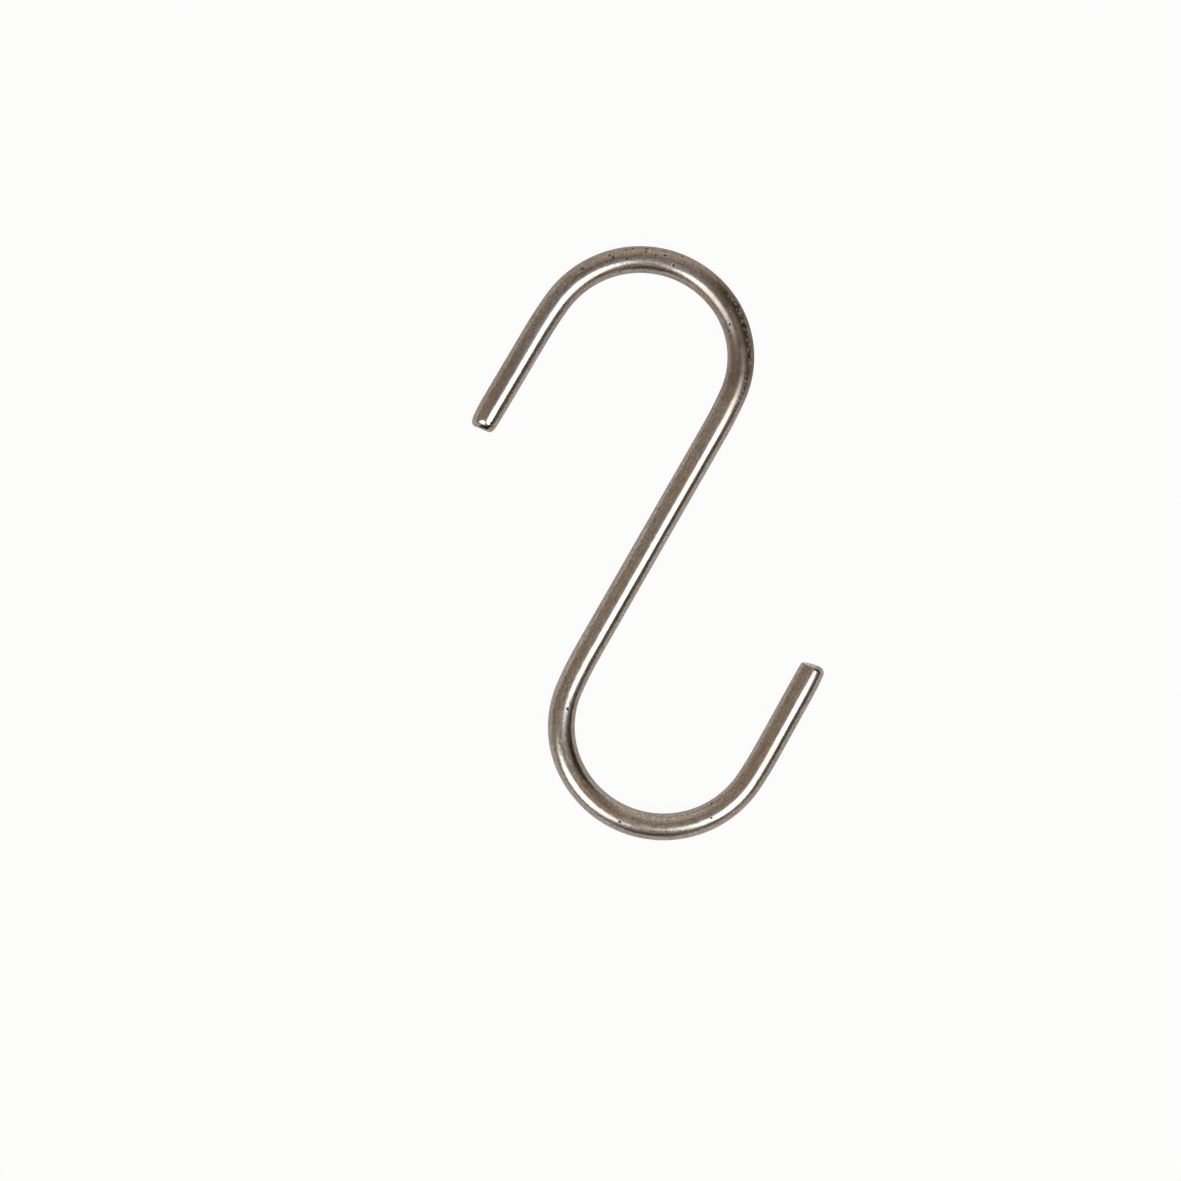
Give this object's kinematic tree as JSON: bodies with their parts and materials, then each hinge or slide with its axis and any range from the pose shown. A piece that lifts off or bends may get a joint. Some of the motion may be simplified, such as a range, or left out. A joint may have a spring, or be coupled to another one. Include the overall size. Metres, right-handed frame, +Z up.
{
  "type": "s hook",
  "caption": "Round steel wire bent into an open S, with a hook at each end facing opposite ways, for hanging a load from a rail.",
  "frame": {"origin": "middle of the outline on the underside, as the hook lies flat on its side", "axes": "+Y along the line through both saddles towards the upper hook, +X towards the lower hook's open leg, +Z up, square to the plane of the S"},
  "size_m": [0.0503, 0.0886, 0.004],
  "materials": {
    "steel_wire": "drawn stainless wire, satin, with fine pits and bending marks on the bends"
  },
  "bodies": {
    "root": {"hook": "steel_wire"}
  },
  "joints": []
}
